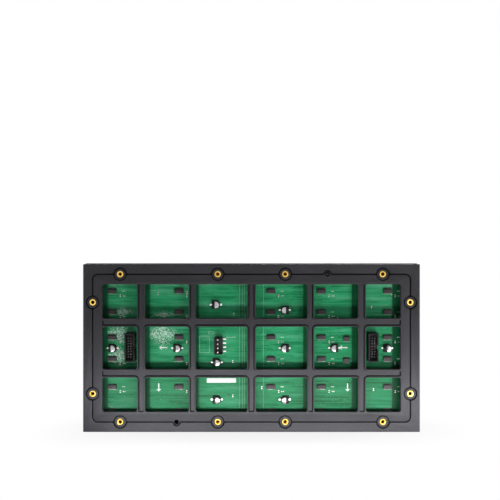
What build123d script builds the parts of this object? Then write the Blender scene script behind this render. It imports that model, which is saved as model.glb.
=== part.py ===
from build123d import *
import os

# Full-colour outdoor display module. The display face looks towards -Y, the rear towards +Y, +Z is up
# and the origin is under the middle of the bottom edge. Millimetres.
# Places on the rear are given as a person behind the module sees them: (right, up) from its centre.

# Pixels
pixel_pitch = 8.0
pixel_columns = 40
pixel_rows = 20
lamp_side = 3.5
lamp_height = 2.2
lamp_gap = 0.6

# Layers from front to rear
visor_reach = 3.4
mask_plate = 2.4
board_thickness = 1.6
housing_depth = 10.6

# Face mask
visor_tip = 0.8

# Rear housing
butt_gap = 0.5
rim_lip = 0.6
board_clearance = 0.2
rear_edge_bevel = 0.8
side_border = 18.5
end_border = 19.5
grid_depth = 4.6
hollow_reach = 5.0
window_corner_flat = 1.45
rib_columns = {-104.7: 7.4, -56.2: 6.5, 0.0: 8.0, 56.2: 6.5, 104.7: 7.4}
rib_rows = {-24.1: 7.8, 24.1: 7.8}
window_rim = 1.1
channel_depth = 1.0

# Threaded inserts
insert_side_inset = 9.5
insert_end_inset = 10.0
insert_end_places = (-124.5, -32.0, 32.0, 124.5)
insert_side_places = (-43.3, 43.3)
insert_width = 6.2
insert_bore = 3.3
insert_length = 7.0
insert_clearance = 0.05

# Seal groove and locating holes
groove_width = 1.3
groove_depth = 2.0
groove_corner_flat = 3.0
groove_round_insert = 6.2
groove_round_locator = 3.4
locator_width = 4.4
locator_depth = 5.0
locator_places = ((72.0, 1), (-71.0, -1))

# Driver and buffer chips. The outer two columns keep a clearance from the signal headers.
inner_chip_columns = (-69.9, 18.6, 67.2)
left_chip_clearance = 8.9
right_chip_clearance = 5.8
chip_rows = (53.4, 33.4, 9.0, -11.8, -38.7, -62.4)
chip_length = 8.65
chip_width = 3.9
chip_height = 1.75
buffer_places = ((91.3, 7.6), (91.3, -13.3))
buffer_length = 6.2
buffer_width = 4.4

# Electrolytic capacitors. The outer two keep a clearance from the signal headers.
inner_capacitor_places = (
    (-71.4, -1.6),
    (-34.3, 40.4),
    (-33.4, -15.3),
    (-33.4, -51.1),
    (32.1, 35.1),
    (32.1, -1.6),
    (32.1, -51.1),
    (79.7, -1.4),
)
outer_capacitor_up = -1.6
left_capacitor_clearance = 9.1
right_capacitor_clearance = 6.2
can_diameter = 6.6
can_sides = 8
can_base_side = 7.8
can_base_height = 1.0
capacitor_height = 5.4

# Signal headers, two rows of pins in a keyed shroud
header_pins = 8
pin_pitch = 2.54
header_end_margin = 4.7
header_width = 9.6
header_height = 9.1
header_wall = 1.3
header_floor = 2.6
key_width = 4.5
header_rib_gap = 2.7

# Power header
power_place = (-31.6, 1.3)
power_pins = 4
power_pitch = 3.96
power_end_margin = 1.95
power_width = 8.0
power_height = 9.0
power_floor = 3.2
power_wall = 1.4
power_end_wall = 1.0
blade_side = 1.14
blade_inset = 3.4
blade_height = 8.2

# Blank label
label_place = (-28.9, -33.4)
label_length = 28.0
label_width = 4.8
label_thickness = 0.12
label_tilt = 1.5

# Worked out from the sizes above
module_width = pixel_columns * pixel_pitch
module_height = pixel_rows * pixel_pitch
module_depth = visor_reach + mask_plate + board_thickness + housing_depth
visor_tip_y = -module_depth / 2
mask_front_y = visor_tip_y + visor_reach
board_front_y = mask_front_y + mask_plate
board_rear_y = board_front_y + board_thickness
housing_rear_y = board_rear_y + housing_depth
housing_width = module_width - 2 * butt_gap
housing_height = module_height - 2 * butt_gap
board_width = housing_width - 2 * (rim_lip + board_clearance)
board_height = housing_height - 2 * (rim_lip + board_clearance)
slot_length = (pixel_columns - 1) * pixel_pitch + lamp_side + 2 * lamp_gap
slot_height = lamp_side + 2 * lamp_gap
grid_right = module_width / 2 - side_border
grid_top = module_height / 2 - end_border
insert_line_x = module_width / 2 - insert_side_inset
insert_line_z = module_height / 2 - insert_end_inset
end_inserts = [(x, side * insert_line_z) for side in (1, -1) for x in insert_end_places]
side_inserts = [(side * insert_line_x, z) for side in (1, -1) for z in insert_side_places]
insert_places = end_inserts + side_inserts
locators = [(x, side * insert_line_z) for x, side in locator_places]
outer_rib = max(rib_columns)
header_inner_side = outer_rib + rib_columns[outer_rib] / 2 + header_rib_gap
header_x = header_inner_side + header_width / 2
header_outer_side = header_inner_side + header_width
chip_columns = (
    -header_outer_side - left_chip_clearance - chip_length / 2,
    *inner_chip_columns,
    header_outer_side + right_chip_clearance + chip_length / 2,
)
capacitor_places = (
    (-header_outer_side - left_capacitor_clearance - can_base_side / 2, outer_capacitor_up),
    *inner_capacitor_places,
    (header_outer_side + right_capacitor_clearance + can_base_side / 2, outer_capacitor_up),
)

os.makedirs("parts", exist_ok=True)


def rear_plane(y):
    # Seen from behind: local x to the right, local y up, extrusions grow towards the rear.
    return Plane(origin=(0, y, module_height / 2), x_dir=(-1, 0, 0), z_dir=(0, 1, 0))


def front_plane(y):
    # Seen from in front: local x to the right, local y up, extrusions grow towards the viewer.
    return Plane(origin=(0, y, module_height / 2), x_dir=(1, 0, 0), z_dir=(0, -1, 0))


def save(piece, name):
    piece.label = name
    export_step(piece, f"parts/{name}.step")


def spans(low, high, ribs):
    # The clear spans that the ribs leave between two outer edges, as (start, end).
    starts = [low] + [place + width / 2 for place, width in ribs.items()]
    ends = [place - width / 2 for place, width in ribs.items()] + [high]
    return list(zip(starts, ends))


def seal_line(outwards):
    # The area inside the seal line, which swells round each insert and locator.
    with BuildSketch() as area:
        Rectangle(2 * (insert_line_x + outwards), 2 * (insert_line_z + outwards))
        chamfer(area.vertices(), groove_corner_flat + (2 - 2**0.5) * outwards)
        with Locations(*end_inserts):
            RegularPolygon(groove_round_insert + outwards, 6, major_radius=False, rotation=30)
        with Locations(*side_inserts):
            RegularPolygon(groove_round_insert + outwards, 6, major_radius=False)
        with Locations(*locators):
            RegularPolygon(groove_round_locator + outwards, 6, major_radius=False, rotation=30)
    return area.sketch


windows = [
    (((left + right) / 2, (low + high) / 2), right - left, high - low)
    for left, right in spans(-grid_right, grid_right, rib_columns)
    for low, high in spans(-grid_top, grid_top, rib_rows)
]

# Face mask: a plate with a slot for each row of lamps and a sloping visor over each slot.
with BuildPart() as face_mask:
    with BuildSketch(front_plane(board_front_y)):
        Rectangle(module_width, module_height)
    extrude(amount=mask_plate)
    with BuildSketch(Plane.YZ):
        with Locations(*[(mask_front_y, (row + 0.5) * pixel_pitch) for row in range(pixel_rows)]):
            Polygon(
                (0, slot_height / 2),
                (-visor_reach, slot_height / 2),
                (-visor_reach, slot_height / 2 + visor_tip),
                (0, pixel_pitch - slot_height / 2),
                align=None,
            )
    extrude(amount=slot_length / 2, both=True)
    with BuildSketch(front_plane(board_front_y)):
        with GridLocations(1, pixel_pitch, 1, pixel_rows):
            Rectangle(slot_length, slot_height)
    extrude(amount=mask_plate, mode=Mode.SUBTRACT)
    with BuildSketch(front_plane(board_front_y)):
        Rectangle(module_width, module_height)
    extrude(amount=mask_plate + visor_reach, mode=Mode.INTERSECT)
save(face_mask.part, "face_mask")

# Lamps: square packages soldered to the front of the board, one for each pixel.
with BuildPart() as led_lamps:
    with BuildSketch(front_plane(board_front_y)):
        with GridLocations(pixel_pitch, pixel_pitch, pixel_columns, pixel_rows):
            Rectangle(lamp_side, lamp_side)
    extrude(amount=lamp_height)
save(led_lamps.part, "led_lamps")

# Circuit board, held in the rebate of the housing's front rim.
with BuildPart() as circuit_board:
    with BuildSketch(rear_plane(board_front_y)):
        Rectangle(board_width, board_height)
    extrude(amount=board_thickness)
save(circuit_board.part, "circuit_board")

# Rear housing: a thick moulded border round a grid of ribs and eighteen windows, hollow between the
# grid and the board. A shallow channel runs along each rib and leaves a rim round each window. The
# rear face has pockets for the inserts, a seal groove that passes outside them and two locating holes.
with BuildPart() as rear_housing:
    with BuildSketch(rear_plane(board_front_y)):
        Rectangle(housing_width, housing_height)
    extrude(amount=board_thickness + housing_depth)
    chamfer(rear_housing.faces().sort_by(Axis.Y)[-1].edges(), rear_edge_bevel)
    with BuildSketch(rear_plane(board_front_y)):
        Rectangle(housing_width - 2 * rim_lip, housing_height - 2 * rim_lip)
    extrude(amount=board_thickness, mode=Mode.SUBTRACT)
    with BuildSketch(rear_plane(board_rear_y)):
        Rectangle(2 * (grid_right + hollow_reach), 2 * (grid_top + hollow_reach))
    extrude(amount=housing_depth - grid_depth, mode=Mode.SUBTRACT)
    with BuildSketch(rear_plane(housing_rear_y)):
        Rectangle(2 * grid_right, 2 * grid_top)
        for place, width, height in windows:
            with Locations(place):
                Rectangle(width + 2 * window_rim, height + 2 * window_rim, mode=Mode.SUBTRACT)
    extrude(amount=-channel_depth, mode=Mode.SUBTRACT)
    with BuildSketch(rear_plane(housing_rear_y - grid_depth)) as openings:
        for place, width, height in windows:
            with Locations(place):
                Rectangle(width, height)
        chamfer(openings.vertices(), window_corner_flat)
    extrude(amount=grid_depth, mode=Mode.SUBTRACT)
    with BuildSketch(rear_plane(housing_rear_y)):
        with Locations(*insert_places):
            RegularPolygon(insert_width / 2 + insert_clearance, 6, major_radius=False)
    extrude(amount=-insert_length, mode=Mode.SUBTRACT)
    with BuildSketch(rear_plane(housing_rear_y)):
        with Locations(*locators):
            RegularPolygon(locator_width / 2, 6, major_radius=False)
    extrude(amount=-locator_depth, mode=Mode.SUBTRACT)
    with BuildSketch(rear_plane(housing_rear_y)):
        add(seal_line(groove_width / 2))
        add(seal_line(-groove_width / 2), mode=Mode.SUBTRACT)
    extrude(amount=-groove_depth, mode=Mode.SUBTRACT)
save(rear_housing.part, "rear_housing")

# Threaded inserts, flush with the rear face: flats outside against turning, tapped bore inside.
with BuildPart() as threaded_inserts:
    with BuildSketch(rear_plane(housing_rear_y)):
        with Locations(*insert_places):
            RegularPolygon(insert_width / 2, 6, major_radius=False)
            Circle(insert_bore / 2, mode=Mode.SUBTRACT)
    extrude(amount=-insert_length)
save(threaded_inserts.part, "threaded_inserts")


def chip(place, length, width):
    with BuildPart() as body:
        with BuildSketch(rear_plane(board_rear_y)):
            with Locations(place):
                Rectangle(length, width)
        extrude(amount=chip_height)
    return body.part


for row, z in enumerate(chip_rows, 1):
    for column, x in enumerate(chip_columns, 1):
        save(chip((x, z), chip_length, chip_width), f"driver_chip_{row}_{column}")
for number, place in enumerate(buffer_places, 1):
    save(chip(place, buffer_length, buffer_width), f"buffer_chip_{number}")


def capacitor(place):
    # A metal can crimped on a square base.
    with BuildPart() as part:
        with BuildSketch(rear_plane(board_rear_y)):
            with Locations(place):
                Rectangle(can_base_side, can_base_side)
        extrude(amount=can_base_height)
        with BuildSketch(rear_plane(board_rear_y + can_base_height)):
            with Locations(place):
                RegularPolygon(can_diameter / 2, can_sides)
        extrude(amount=capacitor_height - can_base_height)
    return part.part


for number, place in enumerate(capacitor_places, 1):
    save(capacitor(place), f"capacitor_{number:02d}")


def signal_header(side):
    # A shroud open to the rear, with a key slot in its right wall.
    length = (header_pins - 1) * pin_pitch + 2 * header_end_margin
    x = side * header_x
    with BuildPart() as shroud:
        with BuildSketch(rear_plane(board_rear_y)):
            with Locations((x, 0)):
                Rectangle(header_width, length)
        extrude(amount=header_height)
        with BuildSketch(rear_plane(board_rear_y + header_floor)):
            with Locations((x, 0)):
                Rectangle(header_width - 2 * header_wall, length - 2 * header_wall)
            with Locations((x + (header_width - header_wall) / 2, 0)):
                Rectangle(header_wall, key_width)
        extrude(amount=header_height - header_floor, mode=Mode.SUBTRACT)
    return shroud.part


save(signal_header(-1), "signal_header_left")
save(signal_header(1), "signal_header_right")

# Power header: a shroud with a thick floor, open towards the right. A row of square blades stands
# on its floor.
power_length = (power_pins - 1) * power_pitch + 2 * power_end_margin
blade_x = power_place[0] - power_width / 2 + blade_inset
blade_places = [
    (blade_x, power_place[1] + (number - (power_pins - 1) / 2) * power_pitch)
    for number in range(power_pins)
]
with BuildPart() as power_header:
    with BuildSketch(rear_plane(board_rear_y)):
        with Locations(power_place):
            Rectangle(power_width, power_length)
    extrude(amount=power_height)
    with BuildSketch(rear_plane(board_rear_y + power_floor)):
        with Locations((power_place[0] + power_wall / 2, power_place[1])):
            Rectangle(power_width - power_wall, power_length - 2 * power_end_wall)
    extrude(amount=power_height - power_floor, mode=Mode.SUBTRACT)
save(power_header.part, "power_header")

with BuildPart() as power_blades:
    with BuildSketch(rear_plane(board_rear_y + power_floor)):
        with Locations(*blade_places):
            Rectangle(blade_side, blade_side)
    extrude(amount=blade_height - power_floor)
save(power_blades.part, "power_blades")

# Blank paper label stuck slightly askew on the board.
with BuildPart() as blank_label:
    with BuildSketch(rear_plane(board_rear_y)):
        with Locations(Location((*label_place, 0), label_tilt)):
            Rectangle(label_length, label_width)
    extrude(amount=label_thickness)
save(blank_label.part, "blank_label")
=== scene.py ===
import math
from contextlib import contextmanager

import bmesh
import bpy
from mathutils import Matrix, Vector
from mathutils.geometry import tessellate_polygon


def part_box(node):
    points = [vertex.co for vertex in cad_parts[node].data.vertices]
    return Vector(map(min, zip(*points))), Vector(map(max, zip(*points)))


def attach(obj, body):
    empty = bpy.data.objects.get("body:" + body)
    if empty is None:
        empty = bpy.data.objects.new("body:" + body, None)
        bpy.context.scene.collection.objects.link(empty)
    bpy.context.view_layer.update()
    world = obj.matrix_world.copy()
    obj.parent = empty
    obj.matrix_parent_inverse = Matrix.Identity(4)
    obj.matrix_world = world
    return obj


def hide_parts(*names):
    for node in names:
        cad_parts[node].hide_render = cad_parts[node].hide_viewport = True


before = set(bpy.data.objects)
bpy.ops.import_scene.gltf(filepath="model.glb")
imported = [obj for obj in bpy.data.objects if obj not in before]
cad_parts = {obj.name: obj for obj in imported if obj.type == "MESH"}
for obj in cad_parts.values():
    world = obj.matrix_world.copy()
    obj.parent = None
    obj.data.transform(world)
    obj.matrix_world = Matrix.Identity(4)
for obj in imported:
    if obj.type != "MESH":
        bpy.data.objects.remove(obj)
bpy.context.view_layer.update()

mm = 0.001
toMm = 1000
same = 1e-6    # points closer than this, in metres, are one
scene = bpy.context.scene

maskLow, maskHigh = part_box("face_mask")
shellLow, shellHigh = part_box("rear_housing")
boardLow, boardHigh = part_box("circuit_board")
lampLow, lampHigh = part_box("led_lamps")
middle = (maskLow.z + maskHigh.z) / 2
rearY = shellHigh.y / mm    # depths are in mm along Y, the rear is high
boardY = boardHigh.y / mm
frontY = boardLow.y / mm


def behind(across, up, depth):
    # a place in mm as seen from behind, counted from the module's centre
    return Vector((-across * mm, depth * mm, middle + up * mm))


def mathsNode(operation, swapped=False):
    def apply(self, other=0.0):
        first, second = (other, self) if swapped else (self, other)
        return self.tree.node("ShaderNodeMath", {"operation": operation}, {0: first, 1: second})
    return apply


class Wire:
    # an output socket; arithmetic on it adds Math nodes
    def __init__(self, tree, socket):
        self.tree = tree
        self.socket = socket

    __add__ = __radd__ = mathsNode("ADD")
    __sub__ = mathsNode("SUBTRACT")
    __rsub__ = mathsNode("SUBTRACT", True)
    __mul__ = __rmul__ = mathsNode("MULTIPLY")
    __truediv__ = mathsNode("DIVIDE")
    __gt__ = mathsNode("GREATER_THAN")
    __lt__ = mathsNode("LESS_THAN")
    __abs__ = mathsNode("ABSOLUTE")
    fraction = mathsNode("FRACT")
    floor = mathsNode("FLOOR")
    root = mathsNode("SQRT")
    largest = mathsNode("MAXIMUM")

    def mapped(self, low, high, first=1.0, last=0.0):
        # first up to low, last from high on, and straight between them
        return self.tree.node("ShaderNodeMapRange", None, {0: self, 1: low, 2: high, 3: first, 4: last})


class Tree:
    def __init__(self, group):
        self.group = group

    def node(self, kind, settings=None, sockets=None, output=0):
        made = self.group.nodes.new(kind)
        for key, value in (settings or {}).items():
            if key == "stops":
                while len(made.color_ramp.elements) < len(value):
                    made.color_ramp.elements.new(0.5)
                for stop, (position, colour) in zip(made.color_ramp.elements, value):
                    stop.position = position
                    stop.color = (*colour, 1)
            else:
                setattr(made, key, value)
        for key, value in (sockets or {}).items():
            if isinstance(value, Wire):
                self.group.links.new(value.socket, made.inputs[key])
            else:
                made.inputs[key].default_value = value
        return Wire(self, made.outputs[output]) if made.outputs else made

    def combined(self, x, y, z):
        return self.node("ShaderNodeCombineXYZ", None, {0: x, 1: y, 2: z})

    def seen(self):
        # 1 for the rays that show the background: straight, off a glossy face or through glass
        paths = self.node("ShaderNodeLightPath").socket.node.outputs
        names = ("Is Camera Ray", "Is Glossy Ray", "Is Transmission Ray")
        straight, glossy, through = [Wire(self, paths[name]) for name in names]
        return straight.largest(glossy).largest(through)


class Finish(Tree):
    # a material's node tree, with the textures that the finishes share
    def __init__(self, name):
        self.material = bpy.data.materials.new(name)
        self.material.use_nodes = True
        self.material.node_tree.nodes.clear()
        super().__init__(self.material.node_tree)
        self.place = self.node("ShaderNodeTexCoord", output="Object")

    def axes(self):
        parts = self.node("ShaderNodeSeparateXYZ", None, {0: self.place}).socket.node
        return [Wire(self, socket) for socket in parts.outputs]

    def depth(self):
        return self.axes()[1] * toMm

    def noiseAt(self, place, scale, detail=3.0, roughness=0.5):
        return self.node("ShaderNodeTexNoise", None, {
            "Vector": place, "Scale": scale, "Detail": detail, "Roughness": roughness,
        })

    def noise(self, scale, detail=3.0, stretch=(1, 1, 1), roughness=0.5):
        place = self.node("ShaderNodeVectorMath", {"operation": "MULTIPLY"}, {0: self.place, 1: stretch})
        return self.noiseAt(place, scale, detail, roughness)

    def marked(self, name):
        # 1 on the faces that carry the mark
        return self.node("ShaderNodeAttribute", {"attribute_name": name}, output="Fac")

    def ramp(self, factor, *stops):
        return self.node("ShaderNodeValToRGB", {"stops": stops}, {0: factor})

    def mix(self, factor, first, second):
        first = first if isinstance(first, Wire) else (*first, 1)
        second = second if isinstance(second, Wire) else (*second, 1)
        return self.node("ShaderNodeMix", {"data_type": "RGBA"}, {0: factor, 6: first, 7: second}, 2)

    def surface(self, colour, roughness, bump, strength, distance, metallic=0.0, recess=None, **more):
        relief = self.node("ShaderNodeBump", None, {"Strength": strength, "Distance": distance, "Height": bump})
        sockets = {"Base Color": colour, "Roughness": roughness, "Metallic": metallic, "Normal": relief}
        sockets.update({key.replace("_", " "): value for key, value in more.items()})
        shader = self.node("ShaderNodeBsdfPrincipled", None, sockets)
        if recess is not None:
            # painted shade: where recess is given, the surface turns near-black and matt, as in narrow hollows
            # where next to no light gets in
            shadeBlack = self.node("ShaderNodeBsdfDiffuse", None, {"Color": (0.004, 0.004, 0.0045, 1)})
            shader = self.node("ShaderNodeMixShader", None, {0: recess, 1: shader, 2: shadeBlack})
        self.node("ShaderNodeOutputMaterial", None, {0: shader})
        return self.material


def mouldedPlastic(name, dark, light, roughness, grain=900, shadeDepths=None, mark=None, shine=0.25):
    # its pair of depths in mm marks where painted shade, near-black, fades to the plastic's own look, on the
    # faces that carry the mark where there is one
    tree = Finish(name)
    cloud = tree.noise(14, 4)
    fine = tree.noise(grain, 2)
    scuff = tree.noise(60, 5, (1, 1, 9), 0.7)
    colour = tree.ramp(cloud * 0.6 + fine * 0.25 + scuff * 0.15, (0.36, dark), (0.66, light))
    recess = tree.depth().mapped(*shadeDepths) if shadeDepths else None
    if mark:
        recess = recess * tree.marked(mark)
    return tree.surface(
        colour, roughness - 0.08 + scuff * 0.16, fine + scuff * 0.4, 0.25, 0.08 * mm,
        recess=recess, Specular_IOR_Level=shine,
    )


def metal(name, dark, light, roughness, grain=500, deep=None, printed=None):
    # deep gives the depths in mm between which painted shade fades from a dark colour to the metal's own, and
    # that colour; printed names the mark of the faces with black print
    tree = Finish(name)
    cloud = tree.noise(220, 4)
    fine = tree.noise(grain, 3)
    colour = tree.ramp(cloud, (0.35, dark), (0.65, light))
    if deep:
        low, high, shadeColour = deep
        colour = tree.mix(tree.depth().mapped(low, high), colour, shadeColour)
    if printed:
        colour = tree.mix(tree.marked(printed), colour, (0.012, 0.012, 0.013))
    return tree.surface(colour, roughness - 0.06 + fine * 0.12, fine, 0.15, 0.04 * mm, 1.0)


def lampWhite():
    # a white package round a milky well with three tiny dice
    tree = Finish("lampWhite")
    size = {"pitch": 8.0, "half": 1.75, "well": 1.25, "die": 0.2, "dieStep": 0.55}
    x, y, z = tree.axes()

    def fromCentre(place, first):
        # mm from the centre of the lamp
        steps = (place - first - size["half"] * mm) / (size["pitch"] * mm)
        return ((steps + 0.5).fraction() - 0.5) * size["pitch"]

    across, up = fromCentre(x, lampLow.x), fromCentre(z, lampLow.z)
    well = abs(across).largest(abs(up)) < size["well"]
    dice = 0.0
    for step in (-1, 0, 1):
        dice = dice + (abs(across).largest(abs(up - step * size["dieStep"])) < size["die"])
    cloud = tree.noise(300, 2)
    white = tree.ramp(cloud, (0.3, (0.86, 0.86, 0.85)), (0.7, (0.93, 0.93, 0.925)))
    milky = tree.mix(well, white, (0.88, 0.88, 0.84))
    colour = tree.mix(dice * 0.35, milky, (0.35, 0.33, 0.2))
    return tree.surface(colour, 0.45 - well * 0.25, cloud, 0.05, 0.02 * mm)


def openPart(place, spans):
    # 1 well inside one of the spans, 0 outside them
    total = 0.0
    for low, high, soft in spans:
        half = (high - low) / 2
        total = total + abs(place - (low + high) / 2).mapped(half - soft, half)
    return total


def boardGreen():
    # solder mask over copper: long level traces, a few upright ones, arcs at the corners and vias
    tree = Finish("boardGreen")
    size = {
        "traceStep": 1.27, "traceWidth": 0.32, "lineWidth": 0.16, "viaStep": 2.9, "viaRadius": 0.09,
        "upright": (-140.7, -101.6, -53.4, -11.6, -8.6, -6.8, 11.5, 53.0, 100.6, 139.4), "level": 59.2,
        "arcCentre": (130.4, 48.3), "arcDrop": 1.6, "arcs": (9.8, 11.1, 12.4),
        # painted shade: outside these bounds the board is painted darker: low, high, softness
        "litAcross": ((-139.4, -102, 6.0), (-98.6, -54.5, 4.5), (-51.6, 5, 5.0), (-3, 50.3, 3.0),
                       (54, 97.2, 3.0), (102, 136.0, 3.0)),
        "litUp": ((27.0, 70, 6.5), (-21.0, 30, 4.0), (-60.2, -20, 3.2)),
        # flux left by the soldering: across, up, reach across, reach up
        "flux": ((-127, 12, 17, 9), (-124, 33.5, 12, 4.5), (-128, -9, 12, 10), (-86, 12, 17, 12),
                 (-84, 30.5, 14, 3.0)),
    }
    colour = {
        "deep": (0.008, 0.176, 0.062), "fresh": (0.019, 0.288, 0.116), "pale": (0.096, 0.425, 0.236),
        "trace": (0.07, 0.56, 0.24), "cut": (0.003, 0.10, 0.03), "line": (0.40, 0.68, 0.48),
        "via": (0.40, 0.60, 0.40), "flux": (0.66, 0.84, 0.74), "shade": (0.002, 0.070, 0.024),
    }
    x, y, z = tree.axes()
    across = x * -toMm
    up = (z - middle) * toMm
    # long streaks, one for each trace and for a patch of them
    lane = up / size["traceStep"]
    inLane = abs(lane.fraction() - 0.5)
    streak = tree.noiseAt(tree.combined(across * 0.018, lane.floor() * 3.7, 0.0), 1.0, 2.0)
    patch = tree.noiseAt(tree.combined(across * 0.02, up * 0.16, 4.0), 1.0, 3.0)
    trace = (inLane < size["traceWidth"]) * (streak > 0.45)
    cut = (inLane > 0.42) * (streak < 0.47)
    cloud = tree.noise(9, 3)
    stops = zip((0.36, 0.5, 0.66), (colour["deep"], colour["fresh"], colour["pale"]))
    ground = tree.ramp(patch * 0.55 + cloud * 0.45, *stops)
    ground = tree.mix(trace * 0.30, ground, colour["trace"])
    ground = tree.mix(cut * 0.6, ground, colour["cut"])
    # single lines, and arcs round the corners
    line = abs(up - size["level"]) < size["lineWidth"]
    for place in size["upright"]:
        line = line.largest(abs(across - place) < size["lineWidth"])
    sideways = abs(across) - size["arcCentre"][0]
    upwards = abs(up + size["arcDrop"]) - size["arcCentre"][1]
    away = (sideways * sideways + upwards * upwards).root()
    outer = (sideways > 0.0) * (upwards > 0.0)
    for radius in size["arcs"]:
        line = line.largest((abs(away - radius) < size["lineWidth"]) * outer)
    ground = tree.mix(line * 0.65, ground, colour["line"])
    # vias on a loose grid
    viaPlace = tree.combined(across / size["viaStep"], up / size["viaStep"], 0.0)
    spot = tree.node("ShaderNodeTexVoronoi", {"voronoi_dimensions": "2D"}, {"Vector": viaPlace, "Scale": 1.0})
    via = (spot < size["viaRadius"]) * (tree.noise(26, 2) > 0.52)
    ground = tree.mix(via * 0.35, ground, colour["via"])
    flux = 0.0
    for placeAcross, placeUp, reachAcross, reachUp in size["flux"]:
        near = abs(across - placeAcross) / reachAcross + abs(up - placeUp) / reachUp
        flux = near.mapped(0.5, 1.6).largest(flux)
    flake = tree.noise(560, 5, (1, 1, 1.3), 0.8)
    flux = (flake + flux * 0.12).mapped(0.58, 0.66, 0.0, 1.0) * flux
    ground = tree.mix(flux * 0.9, ground, colour["flux"])
    # painted shade beside the ribs, where the housing keeps the light off, and painted shade growing towards
    # the bottom edge
    sideways = 1.0 - openPart(across, size["litAcross"])
    upwards = 1.0 - openPart(up, size["litUp"])
    shade = (sideways * sideways + upwards * upwards).root().mapped(0.6, 1.0, 0.0, 0.92)
    ground = tree.mix(shade, ground, colour["shade"])
    ground = tree.mix(up.mapped(-40.0, 40.0, 0.5), ground, (0.0, 0.0, 0.0))
    return tree.surface(
        ground, 0.30 + cloud * 0.14, trace * 0.7 + line + via, 0.35, 0.06 * mm, Specular_IOR_Level=0.09
    )


def inkWhite():
    tree = Finish("inkWhite")
    worn = tree.noise(800, 4)
    colour = tree.ramp(worn, (0.3, (0.30, 0.42, 0.35)), (0.6, (0.62, 0.72, 0.66)))
    return tree.surface(colour, 0.6, worn, 0.2, 0.03 * mm)


def paperWhite():
    tree = Finish("paperWhite")
    fibre = tree.noise(1600, 4, (1, 1, 2))
    cloud = tree.noise(60, 2)
    colour = tree.ramp(cloud * 0.6 + fibre * 0.4, (0.35, (0.50, 0.50, 0.49)), (0.65, (0.60, 0.60, 0.59)))
    return tree.surface(colour, 0.72, fibre, 0.2, 0.02 * mm)


# painted shade: on the faces marked narrow the shell fades to near-black from 1.05 mm to 2.3 mm below its rear
# face, in the seal groove, the gutters and the holes
shellFinish = mouldedPlastic("shellPlastic", (0.028, 0.027, 0.031), (0.046, 0.045, 0.052), 0.5,
                             shadeDepths=(rearY - 2.3, rearY - 1.05), mark="narrow", shine=0.2)
maskFinish = mouldedPlastic("maskPlastic", (0.026, 0.025, 0.029), (0.040, 0.039, 0.045), 0.62)
# painted shade: the chip bodies fade to near-black from 1.7 mm down to 1.3 mm above the board, so only the top
# face keeps its own look
chipFinish = mouldedPlastic("chipEpoxy", (0.022, 0.019, 0.021), (0.046, 0.039, 0.044), 0.48, 2500,
                            shadeDepths=(boardY + 1.3, boardY + 1.7))
nylonFinish = mouldedPlastic("blackNylon", (0.008, 0.008, 0.009), (0.019, 0.018, 0.019), 0.5, 1800, shine=0.12)
baseFinish = mouldedPlastic("capBasePlastic", (0.008, 0.008, 0.008), (0.019, 0.019, 0.019), 0.5, 1800,
                            shine=0.15)
printFinish = mouldedPlastic("canPrint", (0.008, 0.008, 0.009), (0.018, 0.018, 0.02), 0.4, 2500)
resistorFinish = mouldedPlastic("resistorBody", (0.05, 0.035, 0.03), (0.16, 0.11, 0.09), 0.45, 3000)
screwFinish = mouldedPlastic("blackScrew", (0.03, 0.03, 0.033), (0.06, 0.06, 0.066), 0.4, 2000)
# painted shade: the brass turns dark brown deep in the bore
brassFinish = metal("insertBrass", (0.68, 0.44, 0.08), (0.95, 0.70, 0.19), 0.32,
                    deep=(rearY - 4.4, rearY - 0.7, (0.10, 0.045, 0.010)))
tinFinish = metal("tinnedMetal", (0.62, 0.61, 0.59), (0.86, 0.85, 0.83), 0.34, 1500)
# painted shade: a near-black copy of the lead metal, for the upper leads of the chips, where their shade falls
shadedLeadFinish = metal("leadMetal", (0.02, 0.02, 0.02), (0.06, 0.058, 0.056), 0.5, 1500)
# painted shade: the can's side turns near black below its shoulder
canFinish = metal("canAluminium", (0.30, 0.29, 0.30), (0.48, 0.47, 0.49), 0.28, 1200,
                  deep=(boardY + 4.8, boardY + 5.34, (0.03, 0.03, 0.031)), printed="printed")
pinFinish = metal("pinMetal", (0.30, 0.29, 0.28), (0.52, 0.50, 0.47), 0.35, 1500)
dullFinish = metal("dullPinMetal", (0.12, 0.11, 0.10), (0.26, 0.25, 0.23), 0.4, 1500)
lampFinish = lampWhite()
boardFinish = boardGreen()
inkFinish = inkWhite()
paperFinish = paperWhite()
print("finishes ready")


def newMesh(name, points, faces):
    mesh = bpy.data.meshes.new(name)
    mesh.from_pydata(points, [], faces)
    return mesh


def finished(name, mesh, finish, smoothAngle=None):
    mesh.name = name
    mesh.materials.clear()
    mesh.materials.append(finish)
    if smoothAngle is not None:
        mesh.shade_smooth()
        mesh.set_sharp_from_angle(angle=math.radians(smoothAngle))
    mesh.update()
    piece = bpy.data.objects.new(name, mesh)
    scene.collection.objects.link(piece)
    return piece


def keep(piece, slot, *nodes):
    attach(piece, "root")
    if nodes:
        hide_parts(*nodes)
    print(piece.name, len(piece.data.polygons), "faces")


@contextmanager
def edited(mesh):
    # the mesh as a bmesh, written back afterwards
    work = bmesh.new()
    work.from_mesh(mesh)
    yield work
    work.to_mesh(mesh)
    work.free()


def tidied(mesh):
    # one skin with its faces outwards
    with edited(mesh) as work:
        bmesh.ops.remove_doubles(work, verts=work.verts, dist=same)
        bmesh.ops.recalc_face_normals(work, faces=work.faces)
    return mesh


def joined(*meshes):
    whole = bpy.data.meshes.new("joined")
    with edited(whole) as work:
        for mesh in meshes:
            work.from_mesh(mesh)
    return whole


def bevelled(work, edges, width, clamp=False):
    bmesh.ops.bevel(
        work, geom=edges, offset=width, segments=2, profile=0.5, affect="EDGES", clamp_overlap=clamp
    )


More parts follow.
